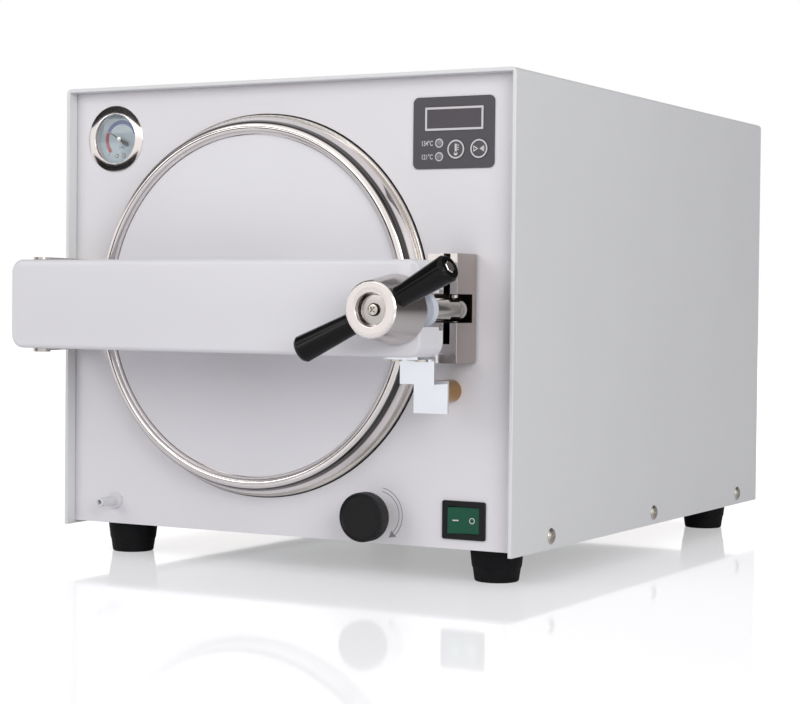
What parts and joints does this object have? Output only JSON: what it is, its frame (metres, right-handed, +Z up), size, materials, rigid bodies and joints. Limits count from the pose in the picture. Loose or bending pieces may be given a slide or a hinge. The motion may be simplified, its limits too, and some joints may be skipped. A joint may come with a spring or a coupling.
{
  "type": "bench-top steam steriliser",
  "caption": "Box-shaped bench-top steam steriliser with a round swing door, a clamping arm across it, a swing-bolt latch with grips, a gauge, a control film and tray shelves inside.",
  "frame": {"origin": "bottom centre of the whole part's bounding box, on the surface it stands on", "axes": "+Z up, the door faces -Y, +X to the right as seen from the front"},
  "size_m": [0.4308, 0.6948, 0.382],
  "materials": {
    "white_enamel": "semi-gloss white powder coat",
    "zinc_sheet": "satin grey coat",
    "polished_steel": "mirror polish",
    "turned_steel": "fine turned",
    "chamber_steel": "brushed",
    "brass": "machined",
    "copper": "drawn tube",
    "transformer_iron": "varnished",
    "black_rubber": "matt",
    "white_silicone": "satin",
    "mineral_wool": "matt",
    "black_bakelite": "gloss",
    "black_plastic": "satin",
    "nylon": "satin",
    "film": "satin print",
    "green_plastic": "gloss",
    "dial_print": "printed",
    "needle_black": "satin",
    "circuit_board": "satin",
    "lamp_lens": "gloss",
    "gauge_glass": "clear"
  },
  "bodies": {
    "casing": {"outer_cover": "white_enamel", "cover_screws": "turned_steel", "front_panel": "white_enamel", "base_plate": "zinc_sheet", "rear_panel": "zinc_sheet", "rubber_feet": "black_rubber", "chamber_shell": "chamber_steel", "chamber_flange": "polished_steel", "insulation_jacket": "mineral_wool", "band_heaters": "chamber_steel", "chamber_saddles": "zinc_sheet", "tray_rack": "chamber_steel", "instrument_trays": "chamber_steel", "keeper_block": "polished_steel", "mounting_bolts": "turned_steel", "hinge_bracket": "turned_steel", "hinge_pin": "turned_steel", "gauge_case": "zinc_sheet", "gauge_bezel": "polished_steel", "gauge_dial": "dial_print", "gauge_lens": "gauge_glass", "copper_tubes": "copper", "drain_nozzle": "turned_steel", "valve_body": "brass", "safety_valve": "brass", "control_film": "film", "control_board": "circuit_board", "display_window": "film", "led_lamps": "lamp_lens", "switch_housing": "black_plastic", "power_inlet": "black_plastic", "fuse_holder": "black_plastic", "transformer": "transformer_iron", "sensor_body": "brass"},
    "pressure_needle": {"gauge_needle": "needle_black"},
    "valve_wheel": {"valve_knob": "black_plastic", "valve_stem": "turned_steel"},
    "pull_ring": {"safety_ring": "turned_steel"},
    "temperature_key": {"temperature_button": "film"},
    "start_key": {"start_button": "film"},
    "mains_rocker": {"switch_rocker": "green_plastic"},
    "door_sensor": {"sensor_plunger": "turned_steel"},
    "door": {"door_arm": "white_enamel", "arm_back_cover": "white_enamel", "door_spindle": "turned_steel", "door_lid": "polished_steel", "door_face": "white_enamel", "door_gasket": "white_silicone", "stepped_plate": "polished_steel", "door_screws": "turned_steel"},
    "clamp_bolt": {"swing_bolt": "turned_steel", "pivot_pin": "turned_steel", "nylon_washer": "nylon", "retaining_washer": "turned_steel", "retaining_screw": "turned_steel"},
    "thrust_plate": {"thrust_ring": "turned_steel"},
    "clamp_handle": {"handle_hub": "polished_steel", "handle_studs": "turned_steel", "handle_grips": "black_bakelite", "grip_nuts": "turned_steel"}
  },
  "joints": [
    {"name": "door_swing", "type": "hinge", "parent": "casing", "child": "door", "pos_m": [-0.17425, -0.28722, 0.206], "axis": [0, 0, -1], "range_deg": [0, 110]},
    {"name": "bolt_swing", "type": "hinge", "parent": "door", "child": "clamp_bolt", "pos_m": [0.15305, -0.21822, 0.206], "axis": [0, 0, 1], "range_deg": [0, 65]},
    {"name": "handle_travel", "type": "slide", "parent": "clamp_bolt", "child": "thrust_plate", "axis": [0, -1, 0], "range_m": [0, 0.0041]},
    {"name": "handle_turn", "type": "hinge", "parent": "thrust_plate", "child": "clamp_handle", "pos_m": [0.15305, -0.32872, 0.2051], "axis": [0, -1, 0], "range_deg": [0, 720]},
    {"name": "valve_turn", "type": "hinge", "parent": "casing", "child": "valve_wheel", "pos_m": [0.07925, -0.21322, 0.0485], "axis": [0, -1, 0], "range_deg": [0, 720]},
    {"name": "needle_turn", "type": "hinge", "parent": "casing", "child": "pressure_needle", "pos_m": [-0.17095, -0.19282, 0.341], "axis": [0, 1, 0], "range_deg": [-70, 190]},
    {"name": "temperature_press", "type": "slide", "parent": "casing", "child": "temperature_key", "axis": [0, 1, 0], "range_m": [0, 0.0006], "stiffness_N_per_m": 600, "springref_m": -0.0004},
    {"name": "start_press", "type": "slide", "parent": "casing", "child": "start_key", "axis": [0, 1, 0], "range_m": [0, 0.0006], "stiffness_N_per_m": 600, "springref_m": -0.0004},
    {"name": "mains_rock", "type": "hinge", "parent": "casing", "child": "mains_rocker", "pos_m": [0.15265, -0.19722, 0.0484], "axis": [0, 0, -1], "range_deg": [0, 20]},
    {"name": "sensor_press", "type": "slide", "parent": "casing", "child": "door_sensor", "axis": [0, 1, 0], "range_m": [0, 0.003], "stiffness_N_per_m": 400, "springref_m": -0.001},
    {"name": "ring_swing", "type": "hinge", "parent": "casing", "child": "pull_ring", "pos_m": [-0.02825, 0.34478, 0.296], "axis": [1, 0, 0], "range_deg": [0, 80]}
  ],
  "couplings": [
    {"joint": "handle_travel", "follows": "handle_turn", "m_per_rad": 0.00031831}
  ]
}
